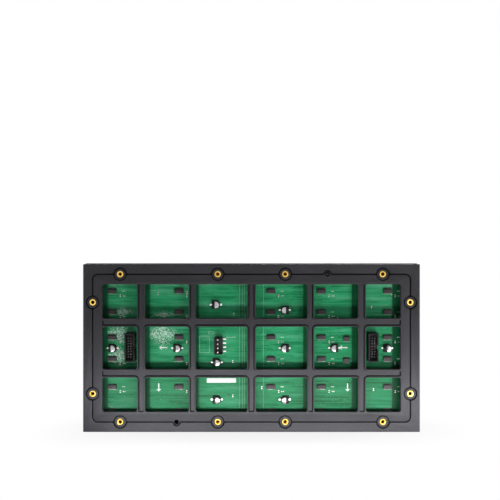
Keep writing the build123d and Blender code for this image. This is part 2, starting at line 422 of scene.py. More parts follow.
def block(low, high, edge=0.0):
    # a box between two corners in metres, with its edges rounded
    mesh = bpy.data.meshes.new("block")
    with edited(mesh) as work:
        bmesh.ops.create_cube(work, size=1)
        centre = (low + high) / 2
        for vertex in work.verts:
            vertex.co = Vector(centre[i] + vertex.co[i] * abs(high[i] - low[i]) for i in range(3))
        if edge:
            bevelled(work, work.edges[:], edge)
    return mesh


def slab(halfX, halfZ, low, high, edge=0.0, x=0.0, z=0.0):
    # a box in mm about (x, z), between two heights above the board
    return block(Vector((x - halfX, low, z - halfZ)) * mm, Vector((x + halfX, high, z + halfZ)) * mm, edge * mm)


def slabPair(halfX, halfZ, high, edge, x, z):
    return joined(*[slab(halfX, halfZ, 0.0, high, edge, side * x, side * z) for side in (-1, 1)])


def bands(count, levels):
    # faces between rings of count points that follow each other
    faces = []
    for first in range(0, count * levels, count):
        for i in range(count):
            a, b = first + i, first + (i + 1) % count
            faces.append((a, b, b + count, a + count))
    return faces


def prism(outline, low, high):
    # a plate between two heights, with its outline given as (x, z) in mm
    count = len(outline)
    points = [(x * mm, y * mm, z * mm) for y in (low, high) for x, z in outline]
    return newMesh("prism", points, [tuple(range(count)), tuple(range(count, 2 * count)), *bands(count, 1)])


def lathe(profile, steps):
    # turns (radius, depth) pairs in mm about the Y axis through the origin; ends on the axis are closed
    points = []
    for radius, depth in profile:
        for step in range(steps):
            turn = math.tau * step / steps
            points.append((radius * math.cos(turn) * mm, depth * mm, radius * math.sin(turn) * mm))
    return tidied(newMesh("lathe", points, bands(steps, len(profile) - 1)))


def newGroup(name, inputs):
    group = bpy.data.node_groups.new(name, "GeometryNodeTree")
    for label, kind in {"Geometry": "Geometry", **inputs}.items():
        group.interface.new_socket(label, in_out="INPUT", socket_type="NodeSocket" + kind)
    group.interface.new_socket("Geometry", in_out="OUTPUT", socket_type="NodeSocketGeometry")
    tree = Tree(group)
    source = tree.node("NodeGroupInput").socket.node
    return tree, {socket.name: Wire(tree, socket) for socket in source.outputs if socket.name}


def endGroup(tree, geometry, finish, joinWithin=None):
    solid = tree.node("GeometryNodeRealizeInstances", None, {0: geometry})
    if joinWithin:
        solid = tree.node("GeometryNodeMergeByDistance", None, {"Geometry": solid, "Distance": joinWithin})
    coated = tree.node("GeometryNodeSetMaterial", None, {"Geometry": solid, "Material": finish})
    tree.node("NodeGroupOutput", None, {0: coated})
    return tree.group


def gridGroup():
    # copies of a unit on an upright grid of columns and rows
    tree, given = newGroup("gridOfUnits", {
        "Unit": "Object", "Finish": "Material", "Columns": "Int", "Rows": "Int",
        "Pitch": "Float", "Centre": "Vector", "Join Within": "Float",
    })
    grid = tree.node("GeometryNodeMeshGrid", None, {
        "Size X": (given["Columns"] - 1) * given["Pitch"], "Size Y": (given["Rows"] - 1) * given["Pitch"],
        "Vertices X": given["Columns"], "Vertices Y": given["Rows"],
    })
    upright = tree.node("GeometryNodeTransform", None, {
        "Geometry": grid, "Translation": given["Centre"], "Rotation": (math.pi / 2, 0, 0),
    })
    unit = tree.node("GeometryNodeObjectInfo", None, {"Object": given["Unit"]}, "Geometry")
    copies = tree.node("GeometryNodeInstanceOnPoints", None, {"Points": upright, "Instance": unit})
    return endGroup(tree, copies, given["Finish"], given["Join Within"])


def spreadGroup():
    # a unit on each point of the mesh, turned about Y by the point's own angle
    tree, given = newGroup("spreadOfUnits", {"Unit": "Object", "Finish": "Material"})
    turn = tree.node("GeometryNodeInputNamedAttribute", {"data_type": "FLOAT"}, {"Name": "turn"})
    rotation = tree.node("FunctionNodeEulerToRotation", None, {0: tree.combined(0.0, turn, 0.0)})
    unit = tree.node("GeometryNodeObjectInfo", None, {"Object": given["Unit"]}, "Geometry")
    copies = tree.node("GeometryNodeInstanceOnPoints", None, {
        "Points": given["Geometry"], "Instance": unit, "Rotation": rotation,
    })
    return endGroup(tree, copies, given["Finish"])


unitGrid = gridGroup()
unitSpread = spreadGroup()


def grown(name, group, host, unit, finish, smoothAngle=None, **values):
    # runs a tree on a mesh with its named inputs, and keeps the result as a plain mesh
    carrier = bpy.data.objects.new(name + "Carrier", host)
    unitObject = bpy.data.objects.new(name + "Unit", unit)
    scene.collection.objects.link(carrier)
    scene.collection.objects.link(unitObject)
    modifier = carrier.modifiers.new("nodes", "NODES")
    modifier.node_group = group
    values.update({"Unit": unitObject, "Finish": finish})
    for item in group.interface.items_tree:
        if item.in_out == "INPUT" and item.name in values:
            modifier[item.identifier] = values[item.name]
    graph = bpy.context.evaluated_depsgraph_get()
    mesh = bpy.data.meshes.new_from_object(carrier.evaluated_get(graph), depsgraph=graph)
    carrier.modifiers.clear()
    bpy.data.objects.remove(carrier)
    bpy.data.objects.remove(unitObject)
    return finished(name, mesh, finish, smoothAngle)


def onGrid(name, unit, finish, columns, rows, pitch, centre, joinWithin=0.0):
    return grown(name, unitGrid, bpy.data.meshes.new("empty"), unit, finish, **{
        "Columns": columns, "Rows": rows, "Pitch": pitch * mm, "Centre": tuple(centre),
        "Join Within": joinWithin,
    })


def onPoints(name, unit, finish, places, turns=None, smoothAngle=None):
    points = newMesh("points", places, [])
    turn = points.attributes.new("turn", "FLOAT", "POINT")
    turn.data.foreach_set("value", turns or [0.0] * len(places))
    return grown(name, unitSpread, points, unit, finish, smoothAngle)


# outlines are lists of (across, up) in mm as seen from behind

def arc(centre, radius, start, end, steps):
    turns = [math.radians(start + (end - start) * step / steps) for step in range(steps + 1)]
    return [(centre[0] + radius * math.cos(a), centre[1] + radius * math.sin(a)) for a in turns]


def filletedLoop(path, grow=0.0, steps=6):
    # an anticlockwise path of (across, up, radius) with square turns either way, grown outwards
    loop = []
    for (x0, z0, _), (x, z, radius), (x2, z2, _) in zip(path[-1:] + path[:-1], path, path[1:] + path[:1]):
        side = math.copysign(1, (x - x0) * (z2 - z) - (z - z0) * (x2 - x))
        first = math.atan2(x0 - x, z - z0)
        second = first + side * math.pi / 2
        centre = (
            x - side * radius * (math.cos(first) + math.cos(second)),
            z - side * radius * (math.sin(first) + math.sin(second)),
        )
        loop += arc(centre, side * radius + grow, math.degrees(first), math.degrees(second), steps)
    return loop


def cornered(box, corner, steps=6):
    # gives the outline of a rounded rectangle for any growth
    left, right, low, high = box
    path = [(x, z, corner) for x, z in ((left, low), (right, low), (right, high), (left, high))]
    return lambda grow: filletedLoop(path, grow, steps)


def disc(centre, radius, steps=48):
    # gives the outline of a circle for any growth
    return lambda grow: arc(centre, radius + grow, 0, 360, steps)[:-1]


def bump(place, ring, fillet, grow, steps=18):
    # the way round a disc that stands on a line: fillet, disc, fillet, as (along, outwards)
    reach = math.sqrt(ring * ring + 2 * ring * fillet)
    lean = math.degrees(math.atan2(fillet, reach))
    return (
        arc((place - reach, fillet), fillet - grow, -90, -lean, 5)
        + arc((place, 0), ring + grow, 180 - lean, lean, steps)
        + arc((place + reach, fillet), fillet - grow, 180 + lean, 270, 5)
    )


class Skin:
    # one closed surface made of rings of points, walls between rings and flat caps with holes
    def __init__(self):
        self.points = []
        self.faces = []
        self.flat = []
        self.narrow = []
        self.inGap = 1.0    # written on the faces made next: 1 in grooves and gutters, where the shell's finish paints shade, 0 on open walls

    def ring(self, loop, depth):
        first = len(self.points)
        self.points += [behind(across, up, depth) for across, up in loop]
        return [(first + i, across, up) for i, (across, up) in enumerate(loop)]

    def addFace(self, corners, flat):
        self.faces.append(corners)
        self.flat.append(flat)
        self.narrow.append(self.inGap)

    def onward(self, last, loop, depth):
        ring = self.ring(loop, depth)
        for i in range(len(ring)):
            j = (i + 1) % len(ring)
            self.addFace((last[i][0], last[j][0], ring[j][0], ring[i][0]), False)
        return ring

    def wall(self, outline, steps):
        # steps are (grow, depth) pairs; gives the first and the last ring
        first = last = self.ring(outline(steps[0][0]), steps[0][1])
        for grow, depth in steps[1:]:
            last = self.onward(last, outline(grow), depth)
        return first, last

    def cap(self, outer, holes=()):
        loops = [outer, *holes]
        flat = [point for loop in loops for point in loop]
        for face in tessellate_polygon([[Vector((p[1], p[2], 0)) for p in loop] for loop in loops]):
            self.addFace(tuple(flat[i][0] for i in face), True)

    def piece(self, name, finish):
        mesh = newMesh(name, self.points, self.faces)
        mesh.attributes.new("narrow", "FLOAT", "FACE").data.foreach_set("value", self.narrow)
        for polygon, flat in zip(mesh.polygons, self.flat):
            polygon.use_smooth = not flat
        tidied(mesh)
        mesh.set_sharp_from_angle(angle=math.radians(40))
        return finished(name, mesh, finish)


def softEdge(topDepth, bottomDepth, edge, into):
    # a wall's (grow, depth) steps with a rounded top edge; into is +1 where the solid lies outside
    steps = []
    for turn in (0, 30, 60, 90):
        side = 1 - math.sin(math.radians(turn))
        down = 1 - math.cos(math.radians(turn))
        steps.append((into * edge * side, topDepth - edge * down))
    return steps + [(0.0, bottomDepth)]


shell = {
    "outerCorner": 0.6, "outerEdge": 0.4, "edge": 0.3,
    "grid": (-141.5, 141.5, -60.5, 60.5), "gridDepth": 4.6, "rimWidth": 1.1, "channelDepth": 1.0,
    "windowCorner": 2.0, "windowEdge": 0.35, "rimEdge": 0.25, "channelEnd": 1.3,
    "gutterWidth": 0.95, "gutterLeast": 0.1, "gutterDepth": 1.9,
    "ribColumns": {-104.7: 7.4, -56.2: 6.5, 0.0: 8.0, 56.2: 6.5, 104.7: 7.4},
    "ribRows": {-24.1: 7.8, 24.1: 7.8},
    "hollowReach": 5.0, "hollowCorner": 2.0, "rim": 0.6, "rimCorner": 1.0,
    "sealLine": (150.5, 70.0), "sealCorner": 5.0, "sealWidth": 1.2, "sealDepth": 2.0,
    "insertRing": 5.85, "insertRingInner": 5.65, "fillet": 2.0, "islandRadius": 5.25, "islandDrop": 0.25,
    "locatorRing": 3.4, "locatorFillet": 1.6, "locatorHole": 2.2, "locatorDepth": 5.0, "locatorEdge": 0.2,
    "locatorPost": 1.15, "postDrop": 0.6,
    "insertsAcross": (-124.5, -32.0, 32.0, 124.5), "insertsUp": (-43.3, 43.3),
    "locators": ((72.0, 1), (-71.0, -1)),    # across, and 1 for the top edge
    "pocketRadius": 3.15, "pocketDepth": 7.0, "pocketEdge": 0.1,
}
insertPlaces = [(x, side * shell["sealLine"][1]) for side in (-1, 1) for x in shell["insertsAcross"]]
insertPlaces += [(side * shell["sealLine"][0], z) for side in (-1, 1) for z in shell["insertsUp"]]


def sealLoop(grow, inner):
    # the seal line with its ways round the inserts and locators; the inner edge passes inside the inserts
    width, height = shell["sealLine"]
    corner = shell["sealCorner"]
    loop = []
    for out in ((0, -1), (1, 0), (0, 1), (-1, 0)):
        along = (-out[1], out[0])
        way = sum(along)
        inserts = shell["insertsUp"] if out[0] else shell["insertsAcross"]
        events = [(place * way, "insert") for place in inserts]
        events += [(place * way, "locator") for place, side in shell["locators"] if side == out[1]]
        run = []
        for place, kind in sorted(events):
            if kind == "locator":
                run += bump(place, shell["locatorRing"], shell["locatorFillet"], grow, 10)
            elif inner:
                run += [(a, -h) for a, h in bump(place, shell["insertRingInner"], shell["fillet"], -grow)]
            else:
                run += bump(place, shell["insertRing"], shell["fillet"], grow)
        loop += [
            (out[0] * (width + h) + a * along[0], out[1] * (height + h) + a * along[1]) for a, h in run
        ]
        centre = ((width - corner) * (along[0] + out[0]), (height - corner) * (along[1] + out[1]))
        start = math.degrees(math.atan2(out[1], out[0]))
        loop += arc(centre, corner + grow, start, start + 90, 8)
    return loop


def ribSpans(low, high, ribs):
    starts = [low] + [place + width / 2 for place, width in ribs.items()]
    ends = [place - width / 2 for place, width in ribs.items()] + [high]
    return list(zip(starts, ends))


def channelPath(columns, rows):
    # anticlockwise round the net of channels, past the rims of the windows that touch the border
    rim, end = shell["rimWidth"], shell["channelEnd"]
    corner = shell["windowCorner"] + rim
    left, right, low, high = shell["grid"]
    across = [(one[1] + rim, two[0] - rim) for one, two in zip(columns, columns[1:])]
    lower, upper = [(one[1] + rim, two[0] - rim) for one, two in zip(rows, rows[1:])]
    first, last = across[0][0], across[-1][1]
    path = []
    for a, b in across:
        path += [(a, lower[0], corner), (a, low, end), (b, low, end), (b, lower[0], corner)]
    path += [(right, lower[0], end), (right, lower[1], end), (last, lower[1], corner)]
    path += [(last, upper[0], corner), (right, upper[0], end), (right, upper[1], end)]
    for a, b in reversed(across):
        path += [(b, upper[1], corner), (b, high, end), (a, high, end), (a, upper[1], corner)]
    path += [(left, upper[1], end), (left, upper[0], end), (first, upper[0], corner)]
    path += [(first, lower[1], corner), (left, lower[1], end), (left, lower[0], end)]
    return path


def gutterLoop(outline, into):
    # the far edge of the gutter along a rim: the gutter, painted near-black, stands for the rim's shadow, so it
    # is wide above the windows and on their sides towards the middle
    loop = []
    for (x, z), (xInto, zInto) in zip(outline(0.0), outline(into)):
        along, up = xInto - x, zInto - z
        width = shell["gutterLeast"] + shell["gutterWidth"] * max(up, -math.copysign(along, along * x), 0.0)
        loop.append((x + along * width, z + up * width))
    return loop


def rearShell():
    skin = Skin()
    halfWidth = (shellHigh.x - shellLow.x) / 2 / mm
    halfHeight = (shellHigh.z - shellLow.z) / 2 / mm
    left, right, low, high = shell["grid"]
    half = shell["sealWidth"] / 2
    edge = shell["edge"]
    floorY = rearY - shell["sealDepth"]
    underY = rearY - shell["gridDepth"]

    # outer walls, from the rear face to the front of the rim
    skin.inGap = 0.0
    outline = cornered((-halfWidth, halfWidth, -halfHeight, halfHeight), shell["outerCorner"])
    outerTop, outerFront = skin.wall(outline, softEdge(rearY, frontY, shell["outerEdge"], -1))
    # the groove, between its outer edge, its inner edge and an island round each insert
    skin.inGap = 1.0
    grooveOuterTop, grooveOuterFloor = skin.wall(
        lambda grow: sealLoop(half + grow, False), softEdge(rearY, floorY, edge, 1)
    )
    grooveInnerTop, grooveInnerFloor = skin.wall(
        lambda grow: sealLoop(-half + grow, True), softEdge(rearY, floorY, edge, -1)
    )
    skin.cap(outerTop, [grooveOuterTop])
    islandY = rearY - shell["islandDrop"]
    pocketWall = softEdge(islandY, rearY - shell["pocketDepth"], shell["pocketEdge"], 1)
    islandFloors = []
    for place in insertPlaces:
        top, foot = skin.wall(disc(place, shell["islandRadius"]), softEdge(islandY, floorY, edge, -1))
        mouth, deep = skin.wall(disc(place, shell["pocketRadius"]), pocketWall)
        skin.cap(top, [mouth])
        skin.cap(deep)
        islandFloors.append(foot)
    skin.cap(grooveOuterFloor, [grooveInnerFloor, *islandFloors])
    # locating holes, the upper one with a post in it
    locatorY = rearY - shell["locatorDepth"]
    mouths = []
    for x, side in shell["locators"]:
        place = (x, side * shell["sealLine"][1])
        mouth, deep = skin.wall(
            disc(place, shell["locatorHole"], 32), softEdge(rearY, locatorY, shell["locatorEdge"], 1)
        )
        mouths.append(mouth)
        if side > 0:
            postWall = softEdge(rearY - shell["postDrop"], locatorY, shell["locatorEdge"], -1)
            head, foot = skin.wall(disc(place, shell["locatorPost"], 24), postWall)
            skin.cap(head)
            skin.cap(deep, [foot])
        else:
            skin.cap(deep)
    # windows, each with a rim between it and the channels on the ribs
    skin.inGap = 0.0
    columns = ribSpans(left, right, shell["ribColumns"])
    rows = ribSpans(low, high, shell["ribRows"])
    windowWall = softEdge(rearY, underY, shell["windowEdge"], 1)
    spans = [one + two for one in columns for two in rows]
    windows = [skin.wall(cornered(span, shell["windowCorner"]), windowWall) for span in spans]
    tops = [top for top, foot in windows]
    # the channels: their outline follows the border, and the inner windows' rims stand inside it
    skin.inGap = 1.0
    rim = shell["rimWidth"]
    gutterY = rearY - shell["gutterDepth"]

    def rimWall(outline, into):
        # down from the rear face into the gutter, and up on its far side to the channel
        top, foot = skin.wall(outline, softEdge(rearY, gutterY, shell["rimEdge"], -into))
        far = gutterLoop(outline, into)
        return top, skin.onward(skin.onward(foot, far, gutterY), far, rearY - shell["channelDepth"])

    outer, floor = rimWall(lambda grow: filletedLoop(channelPath(columns, rows), grow), -1)
    three, four = rows[1]
    rims = [
        rimWall(cornered((one - rim, two + rim, three - rim, four + rim), shell["windowCorner"] + rim), 1)
        for one, two in columns[1:-1]
    ]
    skin.cap(floor, [foot for head, foot in rims])
    inner = [tops[column * len(rows) + 1] for column in range(1, len(columns) - 1)]
    for (head, foot), top in zip(rims, inner):
        skin.cap(head, [top])
    skin.cap(grooveInnerTop, [outer, *mouths, *[top for top in tops if top not in inner]])
    # underside: ribs, hollow, seat of the board, rim
    skin.inGap = 0.0
    reach = shell["hollowReach"]
    hollow = (left - reach, right + reach, low - reach, high + reach)
    hollowTop, hollowFoot = skin.wall(cornered(hollow, shell["hollowCorner"]), ((0, underY), (0, boardY)))
    skin.cap(hollowTop, [foot for top, foot in windows])
    width, height = halfWidth - shell["rim"], halfHeight - shell["rim"]
    rebate = cornered((-width, width, -height, height), shell["rimCorner"])
    seat, lip = skin.wall(rebate, ((0, boardY), (0, frontY)))
    skin.cap(seat, [hollowFoot])
    skin.cap(outerFront, [lip])
    return skin.piece("rearShell", shellFinish)


keep(rearShell(), "housing_plastic", "rear_housing")


def insertUnit():
    # brass insert from its rear face down, with a coarse thread
    size = {
        "rim": 3.05, "chamfer": 0.35, "depth": 6.95, "land": 2.05, "landEdge": (0.1, 0.12),
        "bore": 1.65, "boreDepth": 6.0,
        "root": 1.98, "pitch": 0.7, "turns": 7, "firstTurn": 0.55, "flank": 0.22,
    }
    profile = [(0.0, -size["boreDepth"]), (size["bore"], -size["boreDepth"])]
    for turn in range(size["turns"], -1, -1):
        depth = -size["firstTurn"] - turn * size["pitch"]
        profile += [(size["root"], depth - size["flank"]), (size["bore"], depth)]
    out, down = size["landEdge"]
    profile += [(size["land"], -down), (size["land"] + out, 0.0), (size["rim"] - size["chamfer"], 0.0)]
    profile += [(size["rim"], -size["chamfer"]), (size["rim"], -size["depth"]), (0.0, -size["depth"])]
    return lathe(profile, 28)


insertTops = [behind(x, z, rearY) for x, z in insertPlaces]
inserts = onPoints("brassInserts", insertUnit(), brassFinish, insertTops, None, 35)
keep(inserts, "insert_brass", "threaded_inserts")

mask = {
    "pitch": 8.0, "columns": 40, "rows": 20, "slot": 4.7, "plate": 2.4, "tip": 0.8, "tipRound": 0.16,
    "tipSlant": 0.6, "finDrop": 1.9,
}


def onMask(name, unit, finish, joinWithin=0.0):
    # a unit for each lamp of the display
    centre = (0, 0, middle)
    return onGrid(name, unit, finish, mask["columns"], mask["rows"], mask["pitch"], centre, joinWithin)


def maskUnit():
    # one cell: a window, the fins beside it and the visor over it, about the lamp's centre
    half, slot = mask["pitch"] / 2, mask["slot"] / 2
    back = maskHigh.y / mm
    front = back - mask["plate"]
    tip = maskLow.y / mm
    cut = mask["tipRound"]
    fin = front - mask["finDrop"]
    low, slope = -slot, mask["pitch"] - slot
    ladder = [(fin, slot), (tip + cut, slot), (tip, slot + cut), (tip, slot + mask["tip"] - cut)]
    ladder += [(tip + cut * mask["tipSlant"], slot + mask["tip"]), (front, slope)]
    points, faces = [], []

    def face(*corners):
        first = len(points)
        points.extend(Vector((x * mm, y * mm, z * mm)) for x, y, z in corners)
        faces.append(tuple(range(first, first + len(corners))))

    def strip(x1, x2, y1, z1, y2, z2):
        face((x1, y1, z1), (x2, y1, z1), (x2, y2, z2), (x1, y2, z2))

    # fins, visor tip and slope on each side of the window, and over it
    for (y1, z1), (y2, z2) in zip(ladder, ladder[1:]):
        for x1, x2 in ((-half, -slot), (slot, half)):
            strip(x1, x2, y1, z1, y2, z2)
    over = [(back, slot)] + ladder
    for (y1, z1), (y2, z2) in zip(over, over[1:]):
        strip(-slot, slot, y1, z1, y2, z2)
    for side in (-1, 1):
        strip(side * half, side * slot, front, low, fin, slot)
        wall = [(back, low), (front, low), (fin, slot), (back, slot)]
        face(*[(side * slot, y, z) for y, z in wall])
        end = [(back, low), (front, low), *ladder, (back, slope), (back, slot)]
        face(*[(side * half, y, z) for y, z in end])
        for z1, z2 in ((low, slot), (slot, slope)):
            strip(side * slot, side * half, back, z1, back, z2)
    strip(-slot, slot, front, low, back, low)
    strip(-slot, slot, back, slot, back, slope)
    mesh = newMesh("maskCell", points, faces)
    with edited(mesh) as work:
        bmesh.ops.remove_doubles(work, verts=work.verts, dist=same)
    return mesh


def everything(work):
    return work.verts[:] + work.edges[:] + work.faces[:]


def faceMask():
    piece = onMask("faceMask", maskUnit(), maskFinish, same)
    side = mask["columns"] * mask["pitch"] / 2 * mm
    with edited(piece.data) as work:
        bmesh.ops.remove_doubles(work, verts=work.verts, dist=2 * same)
        # the ends of neighbouring cells lie on each other: only the outermost stay
        inner = []
        for face in work.faces:
            xs = [vertex.co.x for vertex in face.verts]
            if max(xs) - min(xs) < same and abs(abs(xs[0]) - side) > 10 * same and len(face.verts) > 5:
                inner.append(face)
        bmesh.ops.delete(work, geom=inner, context="FACES")
        bmesh.ops.bisect_plane(
            work, geom=everything(work), plane_co=(0, 0, maskHigh.z), plane_no=(0, 0, 1), clear_outer=True
        )
        # the lowest strip goes down to the edge
        foot = [e for e in work.edges if e.is_boundary and max(v.co.z for v in e.verts) < maskLow.z + 2 * mm]
        strip = bmesh.ops.extrude_edge_only(work, edges=foot)["geom"]
        for vertex in (part for part in strip if isinstance(part, bmesh.types.BMVert)):
            vertex.co.z = maskLow.z
        bmesh.ops.remove_doubles(work, verts=work.verts, dist=2 * same)
        for height in (maskLow.z, maskHigh.z):
            level = [e for e in work.edges if all(abs(v.co.z - height) < same for v in e.verts)]
            bmesh.ops.holes_fill(work, edges=[e for e in level if e.is_boundary], sides=0)
        bmesh.ops.recalc_face_normals(work, faces=work.faces)
        print("mask open edges", sum(1 for e in work.edges if not e.is_manifold))
    return piece


keep(faceMask(), "mask_plastic", "face_mask")


def lampUnit():
    size = {
        "half": 1.75, "corner": 0.4, "edge": 0.12,
        "well": 1.3, "wellCorner": 0.7, "wellSlope": 0.15, "wellDepth": 0.3,
    }
    top = lampLow.y / mm

    def ring(reach, corner, depth):
        places = []
        for sx, sz in ((1, -1), (1, 1), (-1, 1), (-1, -1)):
            pair = [(sx * reach, sz * (reach - corner)), (sx * (reach - corner), sz * reach)]
            places += pair if sx * sz > 0 else pair[::-1]
        return [(x * mm, depth * mm, z * mm) for x, z in places]

    half, edge, well = size["half"], size["edge"], size["well"]
    points = (
        ring(half, size["corner"], lampHigh.y / mm) + ring(half, size["corner"], top + edge)
        + ring(half - edge, size["corner"], top) + ring(well, size["wellCorner"], top)
        + ring(well - size["wellSlope"], size["wellCorner"], top + size["wellDepth"])
    )
    return tidied(newMesh("lamp", points, [tuple(range(8)), tuple(range(32, 40)), *bands(8, 4)]))


keep(onMask("lampArray", lampUnit(), lampFinish), "lamp_white", "led_lamps")

# mask screws, on the crossings between four lamps
screw = {
    "head": 1.45, "rise": 1.9, "edge": 0.25, "recess": 0.7, "recessDepth": 0.7, "sunk": 0.3,
    "across": (-104, -56, -8, 8, 56, 104), "up": (-72, -24, 24, 72),
}


def screwUnit():
    # a flat round head with a round recess, looking towards -Y
    head, top = screw["head"], -screw["rise"]
    floor = top + screw["recessDepth"]
    return lathe([
        (0.0, 0.0), (head, 0.0), (head, top + screw["edge"]), (head - screw["edge"], top),
        (screw["recess"], top), (screw["recess"], floor), (0.0, floor),
    ], 18)


screwY = maskHigh.y - mask["plate"] * mm + screw["sunk"] * mm
screwPlaces = [Vector((x * mm, screwY, middle + z * mm)) for x in screw["across"] for z in screw["up"]]
keep(onPoints("maskScrews", screwUnit(), screwFinish, screwPlaces, None, 35), "mask_plastic")

# the circuit board keeps its CAD shape
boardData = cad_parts["circuit_board"].data
boardData.materials.clear()
boardData.materials.append(boardFinish)


def labelSheet():
    # a sheet with rounded corners
    size = {"corner": 0.6, "height": 4.3}
    low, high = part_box("blank_label")
    top = (high.z - middle) / mm
    box = (-high.x / mm, -low.x / mm, top - size["height"], top)
    skin = Skin()
    for ring in skin.wall(cornered(box, size["corner"], 4), ((0, high.y / mm), (0, low.y / mm))):
        skin.cap(ring)
    return skin.piece("labelSheet", paperFinish)


keep(labelSheet(), "label_white", "blank_label")

driver = {"length": 8.65, "width": 3.9, "leads": 12, "pitch": 0.635, "lead": 0.28, "foot": 3.05}
buffer = {"length": 6.2, "width": 4.4, "leads": 10, "pitch": 0.6, "lead": 0.26, "foot": 3.2}
body = {"lift": 0.15, "height": 1.75, "waist": 0.9, "slope": 0.3, "edge": 0.07}
lead = {
    "thick": 0.18, "rise": 0.85, "inside": 0.15, "shoulder": 0.25,
    "knee": 0.5, "kneeRise": 0.12, "footRise": 0.06,
}


def leadMesh(side, size):
    # gull-wing leads along one long side of a chip, about the chip's centre, foot on the board
    half = size["width"] / 2
    line = [(half - lead["inside"], lead["rise"]), (half + lead["shoulder"], lead["rise"]),
            (half + lead["knee"], lead["kneeRise"]), (size["foot"], lead["footRise"])]
    meshes = []
    for place in range(size["leads"]):
        x = (place - (size["leads"] - 1) / 2) * size["pitch"]
        points = []
        for out, rise in line:
            for across, up in ((-1, 0), (1, 0), (1, 1), (-1, 1)):
                y = rise + up * lead["thick"]
                points.append(((x + across * size["lead"] / 2) * mm, y * mm, side * out * mm))
        ends = [(0, 1, 2, 3), tuple(range(len(points) - 4, len(points)))]
        meshes.append(tidied(newMesh("lead", points, bands(4, len(line) - 1) + ends)))
    return joined(*meshes)


def chipBody(size):
    # moulded body with sloping sides and a waist at lead height
    mesh = slab(size["length"] / 2, size["width"] / 2, body["lift"], body["height"])
    waist = body["waist"] * mm
    with edited(mesh) as work:
        bmesh.ops.bisect_plane(work, geom=everything(work), plane_co=(0, waist, 0), plane_no=(0, 1, 0))
        for vertex in work.verts:
            if abs(vertex.co.y - waist) > 10 * same:
                for axis in (0, 2):
                    vertex.co[axis] -= math.copysign(body["slope"] * mm, vertex.co[axis])
        bevelled(work, work.edges[:], body["edge"] * mm)
    return mesh


def middleOf(node):
    low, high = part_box(node)
    return Vector(((low.x + high.x) / 2, low.y, (low.z + high.z) / 2))


driverNodes = [f"driver_chip_{row}_{column}" for row in range(1, 7) for column in range(1, 6)]
bufferNodes = ["buffer_chip_1", "buffer_chip_2"]
for kind, size, nodes in (("driver", driver, driverNodes), ("buffer", buffer, bufferNodes)):
    places = [middleOf(node) for node in nodes]
    keep(onPoints(kind + "Bodies", chipBody(size), chipFinish, places, None, 30), "chip_black", *nodes)
    # painted shade: the upper leads take the near-black lead metal, the lower ones the duller pin metal
    keep(onPoints(kind + "UpperLeads", leadMesh(1, size), shadedLeadFinish, places), "tinned_metal")
    keep(onPoints(kind + "LowerLeads", leadMesh(-1, size), dullFinish, places), "tinned_metal")

can = {
    "radius": 3.3,
    # inset from the radius and height above the board, from the foot up to the top
    "side": ((0.25, 1.0), (0.0, 1.3), (0.0, 1.9), (0.2, 2.15), (0.0, 2.4), (0.0, 4.7), (0.07, 5.04),
             (0.24, 5.25), (0.5, 5.37)),
    # black print past this chord, and on the shoulder beyond this height and radius
    "printChord": -0.75, "printLow": 4.4, "printInner": 2.7, "print": (-0.02, 0.03),
    "base": 3.9, "baseHeight": 1.0, "baseCut": 2.1, "baseEdge": 0.12,
    "pads": (1.0, 0.75, 0.35, 0.12, 4.7, 0.0),    # half sizes, height, edge and place
    "printRight": (6, 7, 8, 9),    # the others have their print on the left seen from behind
}
canNumbers = range(1, 11)
canNodes = [f"capacitor_{number:02d}" for number in canNumbers]
canPlaces = [middleOf(node) for node in canNodes]
canTurns = [math.pi if number in can["printRight"] else 0.0 for number in canNumbers]


def canUnit():
    side = [(can["radius"] - inset, height) for inset, height in can["side"]]
    mesh = lathe([(0.0, side[0][1]), *side, (0.0, side[-1][1])], 40)
    printed = []
    for face in mesh.polygons:
        x, y, z = face.center / mm
        onPrint = x > -can["printChord"] and y > can["printLow"] and math.hypot(x, z) > can["printInner"]
        printed.append(float(onPrint))
    mesh.attributes.new("printed", "FLOAT", "FACE").data.foreach_set("value", printed)
    return mesh


def baseUnit():
    # square foot with two corners cut
    half, cut = can["base"], can["baseCut"]
    outline = [(half, -half), (half, half), (cut - half, half)]
    outline += [(-half, half - cut), (-half, cut - half), (cut - half, -half)]
    mesh = prism(outline, 0.0, can["baseHeight"])
    with edited(mesh) as work:
        bevelled(work, work.edges[:], can["baseEdge"] * mm)
        bmesh.ops.recalc_face_normals(work, faces=work.faces)
    return mesh


def printUnit():
    # a thin printed segment on the can's top
    inset, top = can["side"][-1]
    radius = can["radius"] - inset
    start = math.degrees(math.acos(can["printChord"] / radius))
    edge = [(-x, z) for x, z in arc((0, 0), radius, start, 360 - start, 20)]
    low, high = can["print"]
    return tidied(prism(edge, top + low, top + high))


keep(onPoints("capacitorCans", canUnit(), canFinish, canPlaces, canTurns, 35), "can_aluminium", *canNodes)
keep(onPoints("capacitorBases", baseUnit(), baseFinish, canPlaces, canTurns, 35), "chip_black")
keep(onPoints("capacitorPrint", printUnit(), printFinish, canPlaces, canTurns), "chip_black")
keep(onPoints("capacitorPads", slabPair(*can["pads"]), tinFinish, canPlaces), "tinned_metal")

# a pin and a tab are given by half sizes, foot, top, edge and place
header = {
    "edge": 0.22, "flatTurn": 0.02, "sharpTurn": 0.5,    # the turns are angles between faces
    "pins": 8, "pitch": 2.54, "pin": (0.32, 0.32, 2.3, 8.3, 0.14),
}
power = {
    "pins": 4, "pitch": 3.96, "blade": 0.57, "bladeSunk": 0.2, "bladeEdge": 0.16,
    "tab": (1.6, 0.65, 0.0, 0.4, 0.15, -5.6),
}


